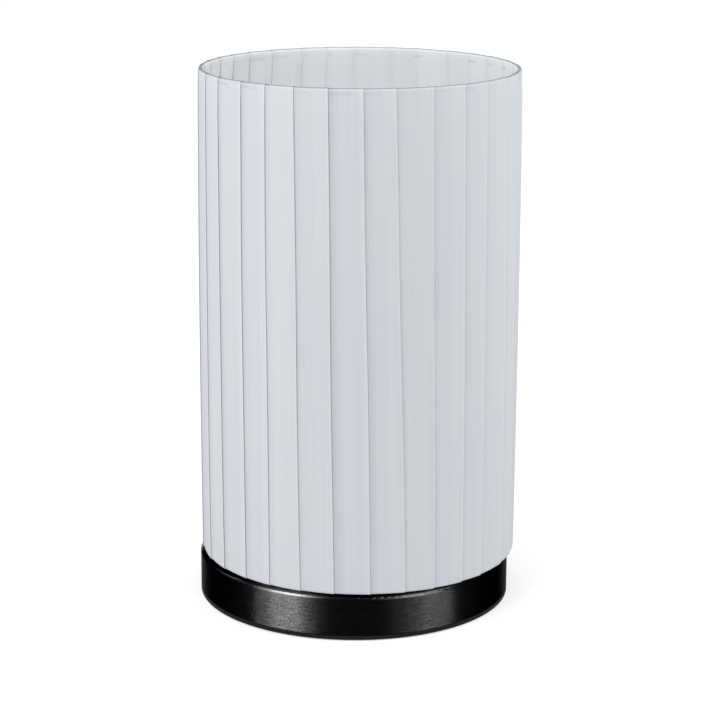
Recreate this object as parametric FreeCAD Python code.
import FreeCAD, Part
import math
import os

# Pleated paper table lamp: a straight drum shade that stands close over a low round base.
# Millimetres, +Z up. The origin is the middle of the base, on the surface it stands on.
# The shade is carried from inside: three wire arms rise from its bottom ring to a washer,
# and two threaded rings clamp that washer on the lampholder, which stands on the base.

# ---- Base ----------------------------------------------------------------------------
base_radius = 88.0
base_height = 24.9
cover_wall = 1.0
cover_edge_round = 1.6
lip_height = 2.2
shadow_gap = 0.4
pad_thickness = 1.6
pad_proud = 0.6
pad_inset = 9.0
locating_rib_height = 1.5
locating_rib_wall = 1.6
weight_thickness = 6.0
boss_count = 3
boss_radius = 5.5
boss_inset = 14.0
plate_screw_radius = 1.75
plate_screw_length = 10.0
plate_screw_head_radius = 3.2
plate_screw_head_height = 0.9
screw_slot_width = 0.6
screw_slot_depth = 0.5

# ---- Stem through the base -----------------------------------------------------------
nipple_radius = 5.0
nipple_bore_radius = 3.75
nipple_in_holder = 10.0
nipple_past_nut = 0.5
nut_across_flats = 14.0
nut_height = 3.0
washer_radius = 9.0
washer_thickness = 1.2
tooth_washer_radius = 7.8
tooth_washer_thickness = 0.8
tooth_count = 12
tooth_depth = 1.1

# ---- Cord inlet at the back ----------------------------------------------------------
inlet_bore_radius = 3.2
inlet_bush_wall = 1.5
inlet_flange_radius = 6.6
inlet_flange_thickness = 1.6
inlet_barb_height = 0.5
inlet_barb_length = 1.2
inlet_tail_length = 2.5

# ---- Wiring inside the base ----------------------------------------------------------
pole_count = 3
pole_pitch = 8.0
block_depth = 15.0
block_height = 10.5
block_from_axis = 24.0
block_end_wall = 1.0
pole_hole_radius = 1.5
pole_hole_above_foot = 3.6
pole_screw_radius = 1.4
pole_screw_length = 2.8
pole_screw_inset = 3.5
block_screw_radius = 1.2
block_screw_head_radius = 2.3
block_screw_head_height = 1.4
lead_radius = 1.1
lead_spacing = 1.3
lead_straight = 6.0
lead_sweep = 10.0
lead_sweep_spacing = 2.1
lead_under_stem = 4.8
lead_past_stem = 1.0
lead_in_insert = 3.0
earth_lead_bend = 5.0
earth_lead_sag = 1.0
earth_x = 27.0
earth_y = 6.0
earth_tag_radius = 4.2
earth_tag_thickness = 0.8
earth_barrel_length = 5.5
earth_screw_radius = 2.0
earth_screw_length = 5.0
earth_head_radius = 3.5
earth_head_height = 2.2

# ---- Lampholder ----------------------------------------------------------------------
holder_height = 62.0
holder_cap_height = 25.0
holder_cap_radius = 22.0
holder_neck_radius = 8.5
holder_neck_height = 6.5
holder_dome_rise = 9.5
holder_dome_bow = 3.1
holder_floor_slope = 2.0
holder_wall = 2.1
skirt_radius = 19.8
skirt_bore_radius = 14.4
skirt_spigot = 5.0
skirt_edge = 0.8
insert_height = 13.7
insert_ledge = 0.9
insert_terminal_x = 7.0
contact_thickness = 0.5
contact_width = 6.0
contact_rise = 1.3
contact_inset = 2.4
contact_foot = 4.0
side_contact_height = 12.0
side_contact_width = 5.0
side_contact_foot = 5.0
terminal_screw_x = 11.5
terminal_screw_radius = 1.5
terminal_screw_length = 6.0
terminal_head_radius = 2.2
terminal_head_height = 1.5
grub_radius = 1.5
shade_ring_radius = 28.5
shade_ring_height = 6.0
shade_ring_rib_count = 24
shade_ring_rib_radius = 0.8
skirt_thread_length = 25.2
skirt_thread_relief = 0.9

# ---- Bulb ----------------------------------------------------------------------------
bulb_length = 108.0
globe_radius = 30.0
globe_wall = 1.2
globe_seam_drop = 12.0
bulb_cap_radius = 13.2
bulb_thread_pitch = 3.629
bulb_thread_turns = 5
bulb_thread_depth = 1.0
bulb_cap_wall = 0.3
bulb_cap_length = 27.0
bulb_collar_height = 2.6
tip_radius = 4.6
tip_flat_radius = 2.0
tip_height = 1.6
tip_bow = 0.55
insulator_height = 3.2
insulator_shelf = 0.6
insulator_edge = 1.2
insulator_plug = 1.2
housing_wall = 1.6
housing_lap = 0.6
housing_bow = 1.0
led_board_thickness = 1.6
led_count = 8
led_circle = 15.5
led_size = 3.0
led_thickness = 0.8
driver_width = 16.0
driver_height = 34.0
driver_thickness = 1.6

# ---- Shade ---------------------------------------------------------------------------
overall_height = 300.0
shade_radius = 89.0
shade_gap = 2.4
pleat_count = 31
pleat_step = 0.65
pleat_start = -87.0
paper = 0.3
liner_thickness = 0.4
ring_wire_radius = 1.0
arm_count = 3
arm_radius = 1.25
arm_flat = 12.0
arm_first_angle = 90.0
carrier_hole_radius = 22.0
carrier_thickness = 1.2
carrier_weld_lap = 6.0

# ---- Clearances ----------------------------------------------------------------------
glue_gap = 0.05
fit_gap = 0.1
touch_gap = 0.1
hem_gap = 0.2
loose_gap = 0.3
free_gap = 0.5
cut_past = 1.0

# ---- Levels and radii that follow ----------------------------------------------------
plate_bottom = pad_proud
plate_top = plate_bottom + lip_height
cover_bottom = plate_top + shadow_gap
cover_inside = base_radius - cover_wall
cover_ceiling = base_height - cover_wall
cover_inner_round = max(cover_edge_round - cover_wall, cover_wall / 4)
weight_radius = cover_inside - max(free_gap, cover_inner_round + fit_gap)
weight_bottom = cover_ceiling - weight_thickness
boss_circle = weight_radius - boss_inset
pad_radius = base_radius - pad_inset
pad_recess = pad_thickness - pad_proud
washer_bottom = weight_bottom - washer_thickness
tooth_bottom = washer_bottom - tooth_washer_thickness
nut_bottom = tooth_bottom - nut_height
nipple_bottom = nut_bottom - nipple_past_nut
nipple_top = base_height + nipple_in_holder
inlet_level = (plate_top + weight_bottom) / 2
inlet_neck_radius = inlet_bore_radius + inlet_bush_wall
block_bottom = weight_bottom - block_height
pole_level = block_bottom + pole_hole_above_foot
lead_level = nipple_bottom - lead_under_stem

holder_top = base_height + holder_height
cap_rim = base_height + holder_cap_height
insert_bottom = cap_rim - skirt_spigot
insert_top = insert_bottom + insert_height
insert_radius = skirt_radius - holder_wall - loose_gap - 2 * fit_gap
skirt_pocket_radius = insert_radius + loose_gap
cap_hollow_radius = insert_radius - insert_ledge
lower_ring_top = cap_rim + shade_ring_height
carrier_top = lower_ring_top + carrier_thickness
upper_ring_top = carrier_top + shade_ring_height
ring_bore_radius = skirt_radius + fit_gap
skirt_thread_top = cap_rim + skirt_thread_length
ring_travel = skirt_thread_top - upper_ring_top

tip_bottom = insert_top + contact_rise + touch_gap
bulb_top = tip_bottom + bulb_length
cap_top = tip_bottom + bulb_cap_length
globe_centre = bulb_top - globe_radius
seam_level = globe_centre - globe_seam_drop
seam_radius = math.sqrt(globe_radius ** 2 - globe_seam_drop ** 2)

# The washer's hole is wider than the holder. The shade hangs against one side of it, so its
# own axis stands a little to the right of the base's axis, as far as the play allows.
shade_shift = carrier_hole_radius - skirt_radius - touch_gap
shade_axis = (shade_shift, 0.0)
shade_bottom = base_height + shade_gap
shade_low_radius = shade_radius - pleat_step
shade_inside = shade_low_radius - paper
roll_radius = ring_wire_radius + hem_gap + paper
ring_circle = shade_inside - glue_gap - hem_gap - ring_wire_radius
top_ring_level = overall_height - roll_radius
bottom_ring_level = shade_bottom + roll_radius
arm_level = lower_ring_top - arm_radius
arm_end = shade_ring_radius + shade_ring_rib_radius + shade_shift + free_gap
carrier_radius = arm_end + carrier_weld_lap
arm_start = ring_circle - ring_wire_radius

vertical = FreeCAD.Vector(0, 0, 1)


# ---- Small helpers -------------------------------------------------------------------
def at(radius, level, axis=(0.0, 0.0)):
    """A point in the upright plane through an axis: its radius and its height."""
    return FreeCAD.Vector(axis[0] + radius, axis[1], level)


def polar(radius, degrees, level=0.0, axis=(0.0, 0.0)):
    angle = math.radians(degrees)
    x = axis[0] + radius * math.cos(angle)
    y = axis[1] + radius * math.sin(angle)
    return FreeCAD.Vector(x, y, level)


def bend(radius, level, size, first, last):
    """Middle and end of an arc about (radius, level), between two angles in degrees."""
    ends = []
    for degrees in ((first + last) / 2, last):
        angle = math.radians(degrees)
        ends.append((radius + size * math.cos(angle), level + size * math.sin(angle)))
    return tuple(ends)


def bowed(start, end, bow):
    """Middle and end of an arc that bows to the right of the line from start to end."""
    run = end[0] - start[0]
    rise = end[1] - start[1]
    length = math.hypot(run, rise)
    middle_radius = (start[0] + end[0]) / 2 + bow * rise / length
    middle_level = (start[1] + end[1]) / 2 - bow * run / length
    return (middle_radius, middle_level), end


def turned(steps, axis=(0.0, 0.0)):
    """A solid of revolution. A step is a point, or an arc's middle and end points."""
    edges = []
    here = at(*steps[0], axis=axis)
    for step in steps[1:] + [steps[0]]:
        if isinstance(step[0], tuple):
            middle = at(*step[0], axis=axis)
            there = at(*step[1], axis=axis)
            edges.append(Part.Arc(here, middle, there).toShape())
        else:
            there = at(*step, axis=axis)
            if there.distanceToPoint(here) < 1e-6:
                continue
            edges.append(Part.LineSegment(here, there).toShape())
        here = there
    face = Part.Face(Part.Wire(edges))
    return face.revolve(FreeCAD.Vector(axis[0], axis[1], 0), vertical, 360)


def disc(radius, low, high, place=(0.0, 0.0)):
    return Part.makeCylinder(radius, high - low, FreeCAD.Vector(place[0], place[1], low))


def tube(outer, inner, low, high, place=(0.0, 0.0)):
    return disc(outer, low, high, place).cut(disc(inner, low, high, place))


def block(low_x, high_x, low_y, high_y, low_z, high_z):
    corner = FreeCAD.Vector(low_x, low_y, low_z)
    return Part.makeBox(high_x - low_x, high_y - low_y, high_z - low_z, corner)


def around(count, radius, first=0.0, axis=(0.0, 0.0)):
    """Places evenly spaced on a circle."""
    places = []
    for index in range(count):
        point = polar(radius, first + index * 360.0 / count, axis=axis)
        places.append((point.x, point.y))
    return places


def route(points):
    """Straight runs with tangent arcs, each arc as large as its two runs allow."""
    edges = []
    radii = []
    here = points[0]
    for index in range(1, len(points) - 1):
        corner = points[index]
        back = points[index - 1] - corner
        ahead = points[index + 1] - corner
        shorter = min(back.Length, ahead.Length)
        half_turn = (math.pi - back.getAngle(ahead)) / 2
        cut = 0.45 * shorter
        radius = cut / math.tan(half_turn)
        start = corner + FreeCAD.Vector(back).normalize() * cut
        end = corner + FreeCAD.Vector(ahead).normalize() * cut
        inward = (FreeCAD.Vector(back).normalize() + FreeCAD.Vector(ahead).normalize()).normalize()
        middle = corner + inward * (radius / math.cos(half_turn) - radius)
        edges.append(Part.LineSegment(here, start).toShape())
        edges.append(Part.Arc(start, middle, end).toShape())
        radii.append(radius)
        here = end
    edges.append(Part.LineSegment(here, points[-1]).toShape())
    return Part.Wire(edges), radii


def wire_tube(name, points, radius):
    """A round wire or lead along a route, checked against its section times its length."""
    path, radii = route(points)
    direction = points[1] - points[0]
    section = Part.Wire(Part.makeCircle(radius, points[0], direction))
    solid = path.makePipeShell([section], True, True)
    expected = math.pi * radius ** 2 * path.Length
    bends = ", ".join("%.1f" % value for value in radii)
    print("%s: length %.1f, bends %s, volume ratio %.4f"
          % (name, path.Length, bends, solid.Volume / expected))
    return solid


# ---- Base ----------------------------------------------------------------------------
def base_cover():
    """Drawn steel cup, open below, with a rounded top edge."""
    inner_corner = cover_inside - cover_inner_round
    shell = turned([
        (0.0, base_height),
        (0.0, cover_ceiling),
        (inner_corner, cover_ceiling),
        bend(inner_corner, cover_ceiling - cover_inner_round, cover_inner_round, 90, 0),
        (cover_inside, cover_bottom),
        (base_radius, cover_bottom),
        (base_radius, base_height - cover_edge_round),
        bend(base_radius - cover_edge_round, base_height - cover_edge_round,
             cover_edge_round, 0, 90),
    ])
    stem_hole = disc(nipple_radius + fit_gap, cover_ceiling - cut_past, base_height + cut_past)
    inlet_hole = inlet_cylinder(inlet_neck_radius + fit_gap, -cover_wall - cut_past, cut_past)
    return shell.cut(stem_hole).cut(inlet_hole)


def inlet_cylinder(radius, inner, outer):
    """A cylinder along Y at the back, from inner to outer, measured from the cover's face."""
    start = FreeCAD.Vector(0, base_radius + inner, inlet_level)
    return Part.makeCylinder(radius, outer - inner, start, FreeCAD.Vector(0, 1, 0))


def base_weight():
    """Cast iron disc under the cover's top, with bosses that the bottom plate screws to."""
    body = disc(weight_radius, weight_bottom, cover_ceiling)
    for place in boss_places():
        body = body.fuse(disc(boss_radius, plate_top, weight_bottom, place))
    cuts = [disc(nipple_radius + fit_gap, weight_bottom, cover_ceiling)]
    screw_tip = plate_bottom + pad_recess + plate_screw_length
    for place in boss_places():
        cuts.append(disc(plate_screw_radius + glue_gap, plate_top, screw_tip + free_gap, place))
    earth_tip = weight_bottom + earth_screw_length - earth_tag_thickness
    cuts.append(disc(earth_screw_radius + glue_gap, weight_bottom, earth_tip, earth_place()))
    block_tip = weight_bottom + block_screw_depth()
    cuts.append(disc(block_screw_radius + glue_gap, weight_bottom, block_tip, block_screw_place()))
    return body.cut(cuts)


def boss_places():
    return around(boss_count, boss_circle, -90.0)


def bottom_plate():
    """Moulded plate that closes the base. Its edge is the low lip under the cover."""
    rib_outer = cover_inside - loose_gap
    plate = disc(base_radius, plate_bottom, plate_top)
    rib = tube(rib_outer, rib_outer - locating_rib_wall, plate_top, plate_top + locating_rib_height)
    plate = plate.fuse(rib)
    recess_top = plate_bottom + pad_recess
    cuts = [disc(pad_radius + fit_gap, plate_bottom, recess_top)]
    sink_top = recess_top + plate_screw_head_height
    for place in boss_places():
        cuts.append(disc(plate_screw_radius + fit_gap, recess_top, plate_top, place))
        cuts.append(disc(plate_screw_head_radius + fit_gap, recess_top, sink_top, place))
    return plate.cut(cuts)


def foot_pad():
    """Foam disc glued in the plate's recess. It covers the screws and stands on the table."""
    return disc(pad_radius, 0.0, pad_thickness)


def plate_screws():
    recess_top = plate_bottom + pad_recess
    screws = []
    for place in boss_places():
        head = disc(plate_screw_head_radius, recess_top, recess_top + plate_screw_head_height, place)
        slot = block(place[0] - plate_screw_head_radius, place[0] + plate_screw_head_radius,
                     place[1] - screw_slot_width / 2, place[1] + screw_slot_width / 2,
                     recess_top, recess_top + screw_slot_depth)
        shank = disc(plate_screw_radius, recess_top, recess_top + plate_screw_length, place)
        screws.append(head.fuse(shank).cut(slot))
    return Part.makeCompound(screws)


def stem_nipple():
    return tube(nipple_radius, nipple_bore_radius, nipple_bottom, nipple_top)


def hexagon(across_flats, low, high):
    corners = [polar(across_flats / math.sqrt(3), 60 * index, low) for index in range(7)]
    return Part.Face(Part.makePolygon(corners)).extrude(vertical * (high - low))


def nipple_nut():
    nut = hexagon(nut_across_flats, nut_bottom, tooth_bottom)
    return nut.cut(disc(nipple_radius + glue_gap, nut_bottom, tooth_bottom))


def flat_washer():
    return tube(washer_radius, nipple_radius + fit_gap, washer_bottom, weight_bottom)


def tooth_washer():
    washer = tube(tooth_washer_radius, nipple_radius + fit_gap, tooth_bottom, washer_bottom)
    notch_radius = math.pi * tooth_washer_radius / tooth_count / 2
    notches = []
    for place in around(tooth_count, tooth_washer_radius + notch_radius - tooth_depth):
        notches.append(disc(notch_radius, tooth_bottom, washer_bottom, place))
    return washer.cut(notches)


def inlet_bush():
    """Snap-in bush that lines the cord's hole: a flange outside and a barb inside."""
    flange = inlet_cylinder(inlet_flange_radius, 0.0, inlet_flange_thickness)
    neck = inlet_cylinder(inlet_neck_radius, -cover_wall - inlet_barb_length - inlet_tail_length, 0.0)
    barb_outer = -cover_wall - free_gap
    barb = inlet_cylinder(inlet_neck_radius + inlet_barb_height,
                          barb_outer - inlet_barb_length, barb_outer)
    bore = inlet_cylinder(inlet_bore_radius, -base_radius / 2, inlet_flange_thickness)
    return flange.fuse([neck, barb]).cut(bore)


# ---- Wiring inside the base ----------------------------------------------------------
def pole_places():
    places = []
    for index in range(pole_count):
        places.append((index - (pole_count - 1) / 2) * pole_pitch)
    return places


def block_screw_place():
    return (pole_pitch / 2, block_from_axis + block_depth / 2)


def block_screw_depth():
    return weight_thickness / 2


def earth_place():
    return (earth_x, earth_y)


def terminal_block():
    half_length = pole_count * pole_pitch / 2 + block_end_wall
    body = block(-half_length, half_length, block_from_axis, block_from_axis + block_depth,
                 block_bottom, weight_bottom)
    cuts = [disc(block_screw_radius + fit_gap, block_bottom, weight_bottom, block_screw_place())]
    for x in pole_places():
        start = FreeCAD.Vector(x, block_from_axis, pole_level)
        cuts.append(Part.makeCylinder(pole_hole_radius, block_depth, start, FreeCAD.Vector(0, 1, 0)))
        for y in pole_screw_rows():
            cuts.append(disc(pole_screw_radius + glue_gap, block_bottom, pole_level, (x, y)))
    return body.cut(cuts)


def pole_screw_rows():
    return (block_from_axis + pole_screw_inset, block_from_axis + block_depth - pole_screw_inset)


def pole_screws():
    screws = []
    top = pole_level - lead_radius
    for x in pole_places():
        for y in pole_screw_rows():
            screws.append(disc(pole_screw_radius, top - pole_screw_length, top, (x, y)))
    return Part.makeCompound(screws)


def block_screw():
    place = block_screw_place()
    head = disc(block_screw_head_radius, block_bottom - block_screw_head_height, block_bottom, place)
    shank = disc(block_screw_radius, block_bottom, weight_bottom + block_screw_depth(), place)
    return head.fuse(shank)


def supply_lead(name, pole, side):
    """From its pole in the block, along the base and up the stem, to the holder's insert."""
    x = side * lead_spacing
    depth = block_from_axis + pole_screw_inset
    points = [
        FreeCAD.Vector(pole, depth, pole_level),
        FreeCAD.Vector(pole, block_from_axis - lead_straight, pole_level),
        FreeCAD.Vector(side * lead_sweep_spacing, lead_sweep, lead_level),
        FreeCAD.Vector(x, 0.0, lead_level),
        FreeCAD.Vector(x, 0.0, nipple_top + lead_past_stem),
        FreeCAD.Vector(side * insert_terminal_x, 0.0, insert_bottom - lead_in_insert),
        FreeCAD.Vector(side * insert_terminal_x, 0.0, insert_bottom + lead_in_insert),
    ]
    return wire_tube(name, points, lead_radius)


def earth_lead():
    """From the last pole to the tag that is screwed to the cast weight."""
    tail = earth_x - earth_tag_radius - earth_barrel_length
    level = weight_bottom - earth_tag_thickness - lead_radius
    pole = pole_places()[-1]
    points = [
        FreeCAD.Vector(pole, block_from_axis + pole_screw_inset, pole_level),
        FreeCAD.Vector(pole, block_from_axis - earth_lead_bend, pole_level),
        FreeCAD.Vector(pole + earth_lead_sag, earth_y + earth_lead_bend, level - earth_lead_sag),
        FreeCAD.Vector(tail - earth_lead_bend, earth_y, level),
        FreeCAD.Vector(tail + earth_barrel_length - free_gap, earth_y, level),
    ]
    return wire_tube("earth_lead", points, lead_radius)


def earth_tag():
    """Ring tag with a rolled barrel that grips the lead."""
    low = weight_bottom - earth_tag_thickness
    ring = disc(earth_tag_radius, low, weight_bottom, earth_place())
    axis_level = low - lead_radius
    start_x = earth_x - earth_tag_radius - earth_barrel_length
    length = earth_barrel_length + earth_tag_radius / 2
    start = FreeCAD.Vector(start_x, earth_y, axis_level)
    barrel_radius = lead_radius + earth_tag_thickness
    barrel = Part.makeCylinder(barrel_radius, earth_barrel_length, start, FreeCAD.Vector(1, 0, 0))
    strap = block(start_x, start_x + length, earth_y - lead_radius, earth_y + lead_radius,
                  low, weight_bottom)
    tag = ring.fuse([barrel, strap])
    lead_hole = Part.makeCylinder(lead_radius + glue_gap, length, start, FreeCAD.Vector(1, 0, 0))
    screw_hole = disc(earth_screw_radius + fit_gap, low, weight_bottom, earth_place())
    above = disc(base_radius, weight_bottom, weight_bottom + barrel_radius)
    return tag.cut([lead_hole, screw_hole, above])


def earth_screw():
    low = weight_bottom - earth_tag_thickness
    head = disc(earth_head_radius, low - earth_head_height, low, earth_place())
    slot = block(earth_x - earth_head_radius, earth_x + earth_head_radius,
                 earth_y - screw_slot_width / 2, earth_y + screw_slot_width / 2,
                 low - earth_head_height, low - earth_head_height / 2)
    shank = disc(earth_screw_radius, low, low + earth_screw_length, earth_place())
    return head.fuse(shank).cut(slot)


# ---- Lampholder ----------------------------------------------------------------------
def holder_cap():
    """Domed lower half of the holder, screwed on the stem's top end."""
    neck_top = (holder_neck_radius, base_height + holder_neck_height)
    dome_top = (holder_cap_radius, base_height + holder_neck_height + holder_dome_rise)
    body = turned([
        (nipple_radius + glue_gap, base_height),
        (holder_neck_radius, base_height),
        neck_top,
        bowed(neck_top, dome_top, holder_dome_bow),
        (holder_cap_radius, cap_rim),
        (skirt_radius + fit_gap, cap_rim),
        (skirt_radius + fit_gap, insert_bottom),
        (cap_hollow_radius, insert_bottom),
        (cap_hollow_radius, nipple_top + holder_floor_slope),
        (cap_hollow_radius - holder_floor_slope, nipple_top),
        (nipple_radius + glue_gap, nipple_top),
    ])
    level = base_height + holder_neck_height / 2
    start = FreeCAD.Vector(0, 0, level)
    hole = Part.makeCylinder(grub_radius + glue_gap, holder_neck_radius + cut_past, start,
                             FreeCAD.Vector(-1, 0, 0))
    return body.cut(hole)


def grub_screw():
    """Small headless screw in the cap's neck that stops the holder turning on the stem."""
    level = base_height + holder_neck_height / 2
    start = FreeCAD.Vector(-nipple_radius, 0, level)
    length = holder_neck_radius - nipple_radius - loose_gap
    screw = Part.makeCylinder(grub_radius, length, start, FreeCAD.Vector(-1, 0, 0))
    outer = -nipple_radius - length
    slot = block(outer, outer + screw_slot_depth, -screw_slot_width / 2, screw_slot_width / 2,
                 level - grub_radius, level + grub_radius)
    stem = disc(nipple_radius, base_height, nipple_top)
    return screw.cut([slot, stem])


def holder_skirt():
    """Upper half of the holder: an outer thread for the shade rings, the bulb's bore inside."""
    upper_radius = skirt_radius - skirt_thread_relief
    return turned([
        (skirt_pocket_radius, insert_bottom),
        (skirt_radius, insert_bottom),
        (skirt_radius, skirt_thread_top - skirt_thread_relief),
        (upper_radius, skirt_thread_top),
        (upper_radius, holder_top - skirt_edge),
        (upper_radius - skirt_edge, holder_top),
        (skirt_bore_radius + skirt_edge, holder_top),
        (skirt_bore_radius, holder_top - skirt_edge),
        (skirt_bore_radius, insert_top),
        (skirt_pocket_radius, insert_top),
    ])


def holder_insert():
    """Ceramic block that carries both contacts and the two terminals."""
    body = disc(insert_radius, insert_bottom, insert_top)
    cuts = []
    for side in (-1, 1):
        lead = (side * insert_terminal_x, 0.0)
        screw = (side * terminal_screw_x, 0.0)
        cuts.append(disc(lead_radius + fit_gap, insert_bottom,
                         insert_bottom + lead_in_insert + free_gap, lead))
        cuts.append(disc(terminal_screw_radius + glue_gap, insert_bottom,
                         insert_bottom + terminal_screw_length + free_gap, screw))
    return body.cut(cuts)


def insert_screws():
    screws = []
    for side in (-1, 1):
        place = (side * terminal_screw_x, 0.0)
        head = disc(terminal_head_radius, insert_bottom - terminal_head_height, insert_bottom, place)
        shank = disc(terminal_screw_radius, insert_bottom, insert_bottom + terminal_screw_length,
                     place)
        screws.append(head.fuse(shank))
    return Part.makeCompound(screws)


def strip(points, thickness, width, middle_y):
    """A bent metal strip: a line of (x, z) points thickened upwards and widened along Y."""
    lower = [FreeCAD.Vector(x, middle_y - width / 2, z) for x, z in points]
    upper = [FreeCAD.Vector(x, middle_y - width / 2, z + thickness) for x, z in reversed(points)]
    face = Part.Face(Part.makePolygon(lower + upper + lower[:1]))
    return face.extrude(FreeCAD.Vector(0, width, 0))


def centre_contact():
    """Springy tongue under the bulb's tip."""
    reach = skirt_bore_radius - contact_inset
    raised = insert_top + contact_rise - contact_thickness
    points = [
        (-reach, insert_top),
        (-reach + contact_foot, insert_top),
        (-tip_radius, raised),
        (tip_radius / 2, raised),
    ]
    return strip(points, contact_thickness, contact_width, 0.0)


def side_contact():
    """Upright tongue beside the bulb's threaded shell, with a foot on the insert."""
    inner = bulb_cap_radius + loose_gap
    half = side_contact_width / 2
    upright = block(-half, half, inner, inner + contact_thickness,
                    insert_top, insert_top + side_contact_height)
    foot = block(-half, half, inner - side_contact_foot, inner,
                 insert_top, insert_top + contact_thickness)
    return upright.fuse(foot)


def threaded_ring(low, high):
    """A shade ring: a flat collar with finger ribs round its edge."""
    ring = tube(shade_ring_radius, ring_bore_radius, low, high)
    ribs = []
    for place in around(shade_ring_rib_count, shade_ring_radius):
        ribs.append(disc(shade_ring_rib_radius, low, high, place))
    return ring.fuse(ribs)


# ---- Bulb ----------------------------------------------------------------------------
def bulb_cap():
    """Thin threaded metal shell. Its thread is drawn as closed crests."""
    crest = bulb_cap_radius
    root = bulb_cap_radius - bulb_thread_depth
    inner = root - bulb_cap_wall
    first = tip_bottom + tip_height + insulator_height
    thread_top = first + bulb_thread_turns * bulb_thread_pitch
    steps = [(inner, first), (root, first)]
    for index in range(bulb_thread_turns):
        low = first + index * bulb_thread_pitch
        steps.append(((crest, low + bulb_thread_pitch / 2), (root, low + bulb_thread_pitch)))
    steps.append((root, cap_top))
    steps.append((inner, cap_top))
    print("bulb cap: plain neck above the thread %.2f" % (cap_top - thread_top))
    return turned(steps)


def bulb_insulator():
    """Dark insulating cone between the shell and the tip."""
    low = tip_bottom + tip_height
    high = low + insulator_height
    plug_radius = bulb_cap_radius - bulb_thread_depth - bulb_cap_wall - glue_gap
    return turned([
        (0.0, low),
        (tip_radius + insulator_shelf, low),
        (plug_radius - insulator_edge, high - insulator_edge / 2),
        (plug_radius, high),
        (plug_radius, high + insulator_plug),
        (0.0, high + insulator_plug),
    ])


def bulb_tip_contact():
    flat = (tip_flat_radius, tip_bottom)
    rim = (tip_radius, tip_bottom + tip_height)
    return turned([
        (0.0, tip_bottom),
        flat,
        bowed(flat, rim, tip_bow),
        (0.0, tip_bottom + tip_height),
    ])


def bulb_housing():
    """White plastic neck that widens from the cap to the globe's seam."""
    neck = bulb_cap_radius + housing_lap
    collar_top = cap_top + bulb_collar_height
    ledge_level = seam_level - led_board_thickness
    ledge = (seam_radius - 2 * housing_wall, ledge_level)
    return turned([
        (neck - housing_wall, cap_top),
        (neck, cap_top),
        (neck, collar_top),
        bowed((neck, collar_top), (seam_radius, seam_level), -housing_bow),
        (seam_radius - housing_wall, seam_level),
        (seam_radius - housing_wall, ledge_level),
        ledge,
        bowed(ledge, (neck - housing_wall, collar_top), housing_bow),
    ])


def bulb_globe():
    """Opal hood: the larger part of a sphere, open at the seam."""
    inner = globe_radius - globe_wall
    inner_drop = math.sqrt(inner ** 2 - (seam_radius - globe_wall) ** 2)
    start = -math.degrees(math.asin(globe_seam_drop / globe_radius))
    inner_start = -math.degrees(math.asin(inner_drop / inner))
    return turned([
        (seam_radius - globe_wall, globe_centre - inner_drop),
        (seam_radius - globe_wall, seam_level),
        (seam_radius, seam_level),
        bend(0.0, globe_centre, globe_radius, start, 90),
        (0.0, globe_centre + inner),
        bend(0.0, globe_centre, inner, 90, inner_start),
    ])


def led_board():
    """Round board that closes the housing, with its light sources in a circle."""
    radius = seam_radius - housing_wall - fit_gap
    board = disc(radius, seam_level - led_board_thickness, seam_level)
    sources = []
    for place in around(led_count, led_circle):
        sources.append(block(place[0] - led_size / 2, place[0] + led_size / 2,
                             place[1] - led_size / 2, place[1] + led_size / 2,
                             seam_level, seam_level + led_thickness))
    return board.fuse(sources)


def driver_board():
    """Upright circuit board inside the neck, under the round board."""
    top = seam_level - led_board_thickness
    half = driver_width / 2
    return block(-half, half, -driver_thickness / 2, driver_thickness / 2, top - driver_height, top)


# ---- Shade ---------------------------------------------------------------------------
def pleated_wall(low, high):
    """The laps in plan: each strip rises outwards to its free edge, then steps down."""
    edges = []
    pitch = 360.0 / pleat_count
    middle_radius = (shade_low_radius + shade_radius) / 2
    for index in range(pleat_count):
        start = pleat_start + index * pitch
        end = start + pitch
        under = polar(shade_low_radius, start, low, shade_axis)
        middle = polar(middle_radius, start + pitch / 2, low, shade_axis)
        free_edge = polar(shade_radius, end, low, shade_axis)
        next_under = polar(shade_low_radius, end, low, shade_axis)
        edges.append(Part.Arc(under, middle, free_edge).toShape())
        edges.append(Part.LineSegment(free_edge, next_under).toShape())
    solid = Part.Face(Part.Wire(edges)).extrude(vertical * (high - low))
    return solid.cut(disc(shade_inside, low, high, shade_axis))


def rolled_hem(level, up):
    """Paper turned over a ring: from the wall, round the wire and back to the liner."""
    inner_size = roll_radius - paper
    turn = 270 if up else -270
    return turned([
        (ring_circle + inner_size, level),
        (ring_circle + roll_radius, level),
        bend(ring_circle, level, roll_radius, 0, turn),
        (ring_circle, level - inner_size if up else level + inner_size),
        bend(ring_circle, level, inner_size, turn, 0),
    ], shade_axis)


def shade_cover():
    """Pleated paper, with both edges rolled over the rings and notched for the arms."""
    wall = pleated_wall(bottom_ring_level, top_ring_level)
    body = wall.fuse([rolled_hem(top_ring_level, True), rolled_hem(bottom_ring_level, False)])
    notches = []
    for direction in arm_directions():
        start = polar(ring_circle - roll_radius - cut_past, direction, bottom_ring_level, shade_axis)
        outward = polar(1, direction)
        reach = cut_past + roll_radius + ring_wire_radius / 2
        notches.append(Part.makeCylinder(arm_radius + loose_gap, reach, start, outward))
    return body.cut(notches)


def shade_liner():
    """Rolled sheet of translucent plastic that keeps the paper round."""
    outer = shade_inside - glue_gap
    low = bottom_ring_level + roll_radius + touch_gap
    high = top_ring_level - roll_radius - touch_gap
    return tube(outer, outer - liner_thickness, low, high, shade_axis)


def wire_ring(level):
    centre = FreeCAD.Vector(shade_axis[0], shade_axis[1], level)
    return Part.makeTorus(ring_circle, ring_wire_radius, centre)


def arm_directions():
    return [arm_first_angle + index * 360.0 / arm_count for index in range(arm_count)]


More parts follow.
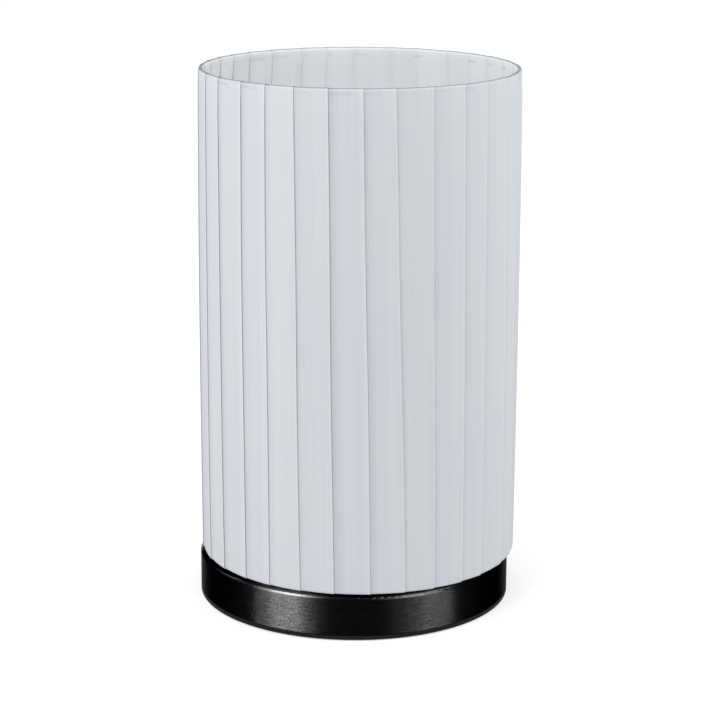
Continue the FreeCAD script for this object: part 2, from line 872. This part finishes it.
def spider_arms():
    """Wires from the bottom ring, up and in to the underside of the carrier washer."""
    arms = []
    for index, direction in enumerate(arm_directions()):
        points = [
            polar(arm_start, direction, bottom_ring_level, shade_axis),
            polar(arm_start - arm_flat, direction, bottom_ring_level, shade_axis),
            polar(arm_end + arm_flat, direction, arm_level, shade_axis),
            polar(arm_end, direction, arm_level, shade_axis),
        ]
        arms.append(wire_tube("arm %d" % (index + 1), points, arm_radius))
    return Part.makeCompound(arms)


def carrier_washer():
    return tube(carrier_radius, carrier_hole_radius, lower_ring_top, carrier_top, shade_axis)


# ---- All nodes -----------------------------------------------------------------------
nodes = {
    "base_cover": base_cover(),
    "base_weight": base_weight(),
    "bottom_plate": bottom_plate(),
    "foot_pad": foot_pad(),
    "plate_screws": plate_screws(),
    "stem_nipple": stem_nipple(),
    "flat_washer": flat_washer(),
    "tooth_washer": tooth_washer(),
    "nipple_nut": nipple_nut(),
    "cord_inlet_bush": inlet_bush(),
    "terminal_block": terminal_block(),
    "pole_screws": pole_screws(),
    "block_screw": block_screw(),
    "live_lead": supply_lead("live_lead", pole_places()[0], -1),
    "neutral_lead": supply_lead("neutral_lead", pole_places()[1], 1),
    "earth_lead": earth_lead(),
    "earth_tag": earth_tag(),
    "earth_screw": earth_screw(),
    "holder_cap": holder_cap(),
    "holder_grub_screw": grub_screw(),
    "holder_insert": holder_insert(),
    "insert_screws": insert_screws(),
    "centre_contact": centre_contact(),
    "side_contact": side_contact(),
    "holder_skirt": holder_skirt(),
    "lower_shade_ring": threaded_ring(cap_rim, lower_ring_top),
    "upper_shade_ring": threaded_ring(carrier_top, upper_ring_top),
    "bulb_tip_contact": bulb_tip_contact(),
    "bulb_insulator": bulb_insulator(),
    "bulb_cap": bulb_cap(),
    "bulb_housing": bulb_housing(),
    "bulb_globe": bulb_globe(),
    "bulb_led_board": led_board(),
    "bulb_driver_board": driver_board(),
    "shade_cover": shade_cover(),
    "shade_liner": shade_liner(),
    "shade_top_ring": wire_ring(top_ring_level),
    "shade_bottom_ring": wire_ring(bottom_ring_level),
    "spider_arms": spider_arms(),
    "carrier_washer": carrier_washer(),
}

os.makedirs("parts", exist_ok=True)
for name, shape in nodes.items():
    shape.exportStep("parts/" + name + ".step")
    print("%-18s solids %d  valid %s  volume %.1f"
          % (name, len(shape.Solids), shape.isValid(), shape.Volume))

bulb_rise = bulb_thread_turns * bulb_thread_pitch
print("shade axis %.2f to the right, shade from %.2f to %.2f"
      % (shade_shift, shade_bottom, overall_height))
print("upper ring travel %.2f on the thread" % ring_travel)
print("bulb rises %.3f in %d turns, top at %.1f" % (bulb_rise, bulb_thread_turns, bulb_top))
print("cord inlet level %.3f" % inlet_level)
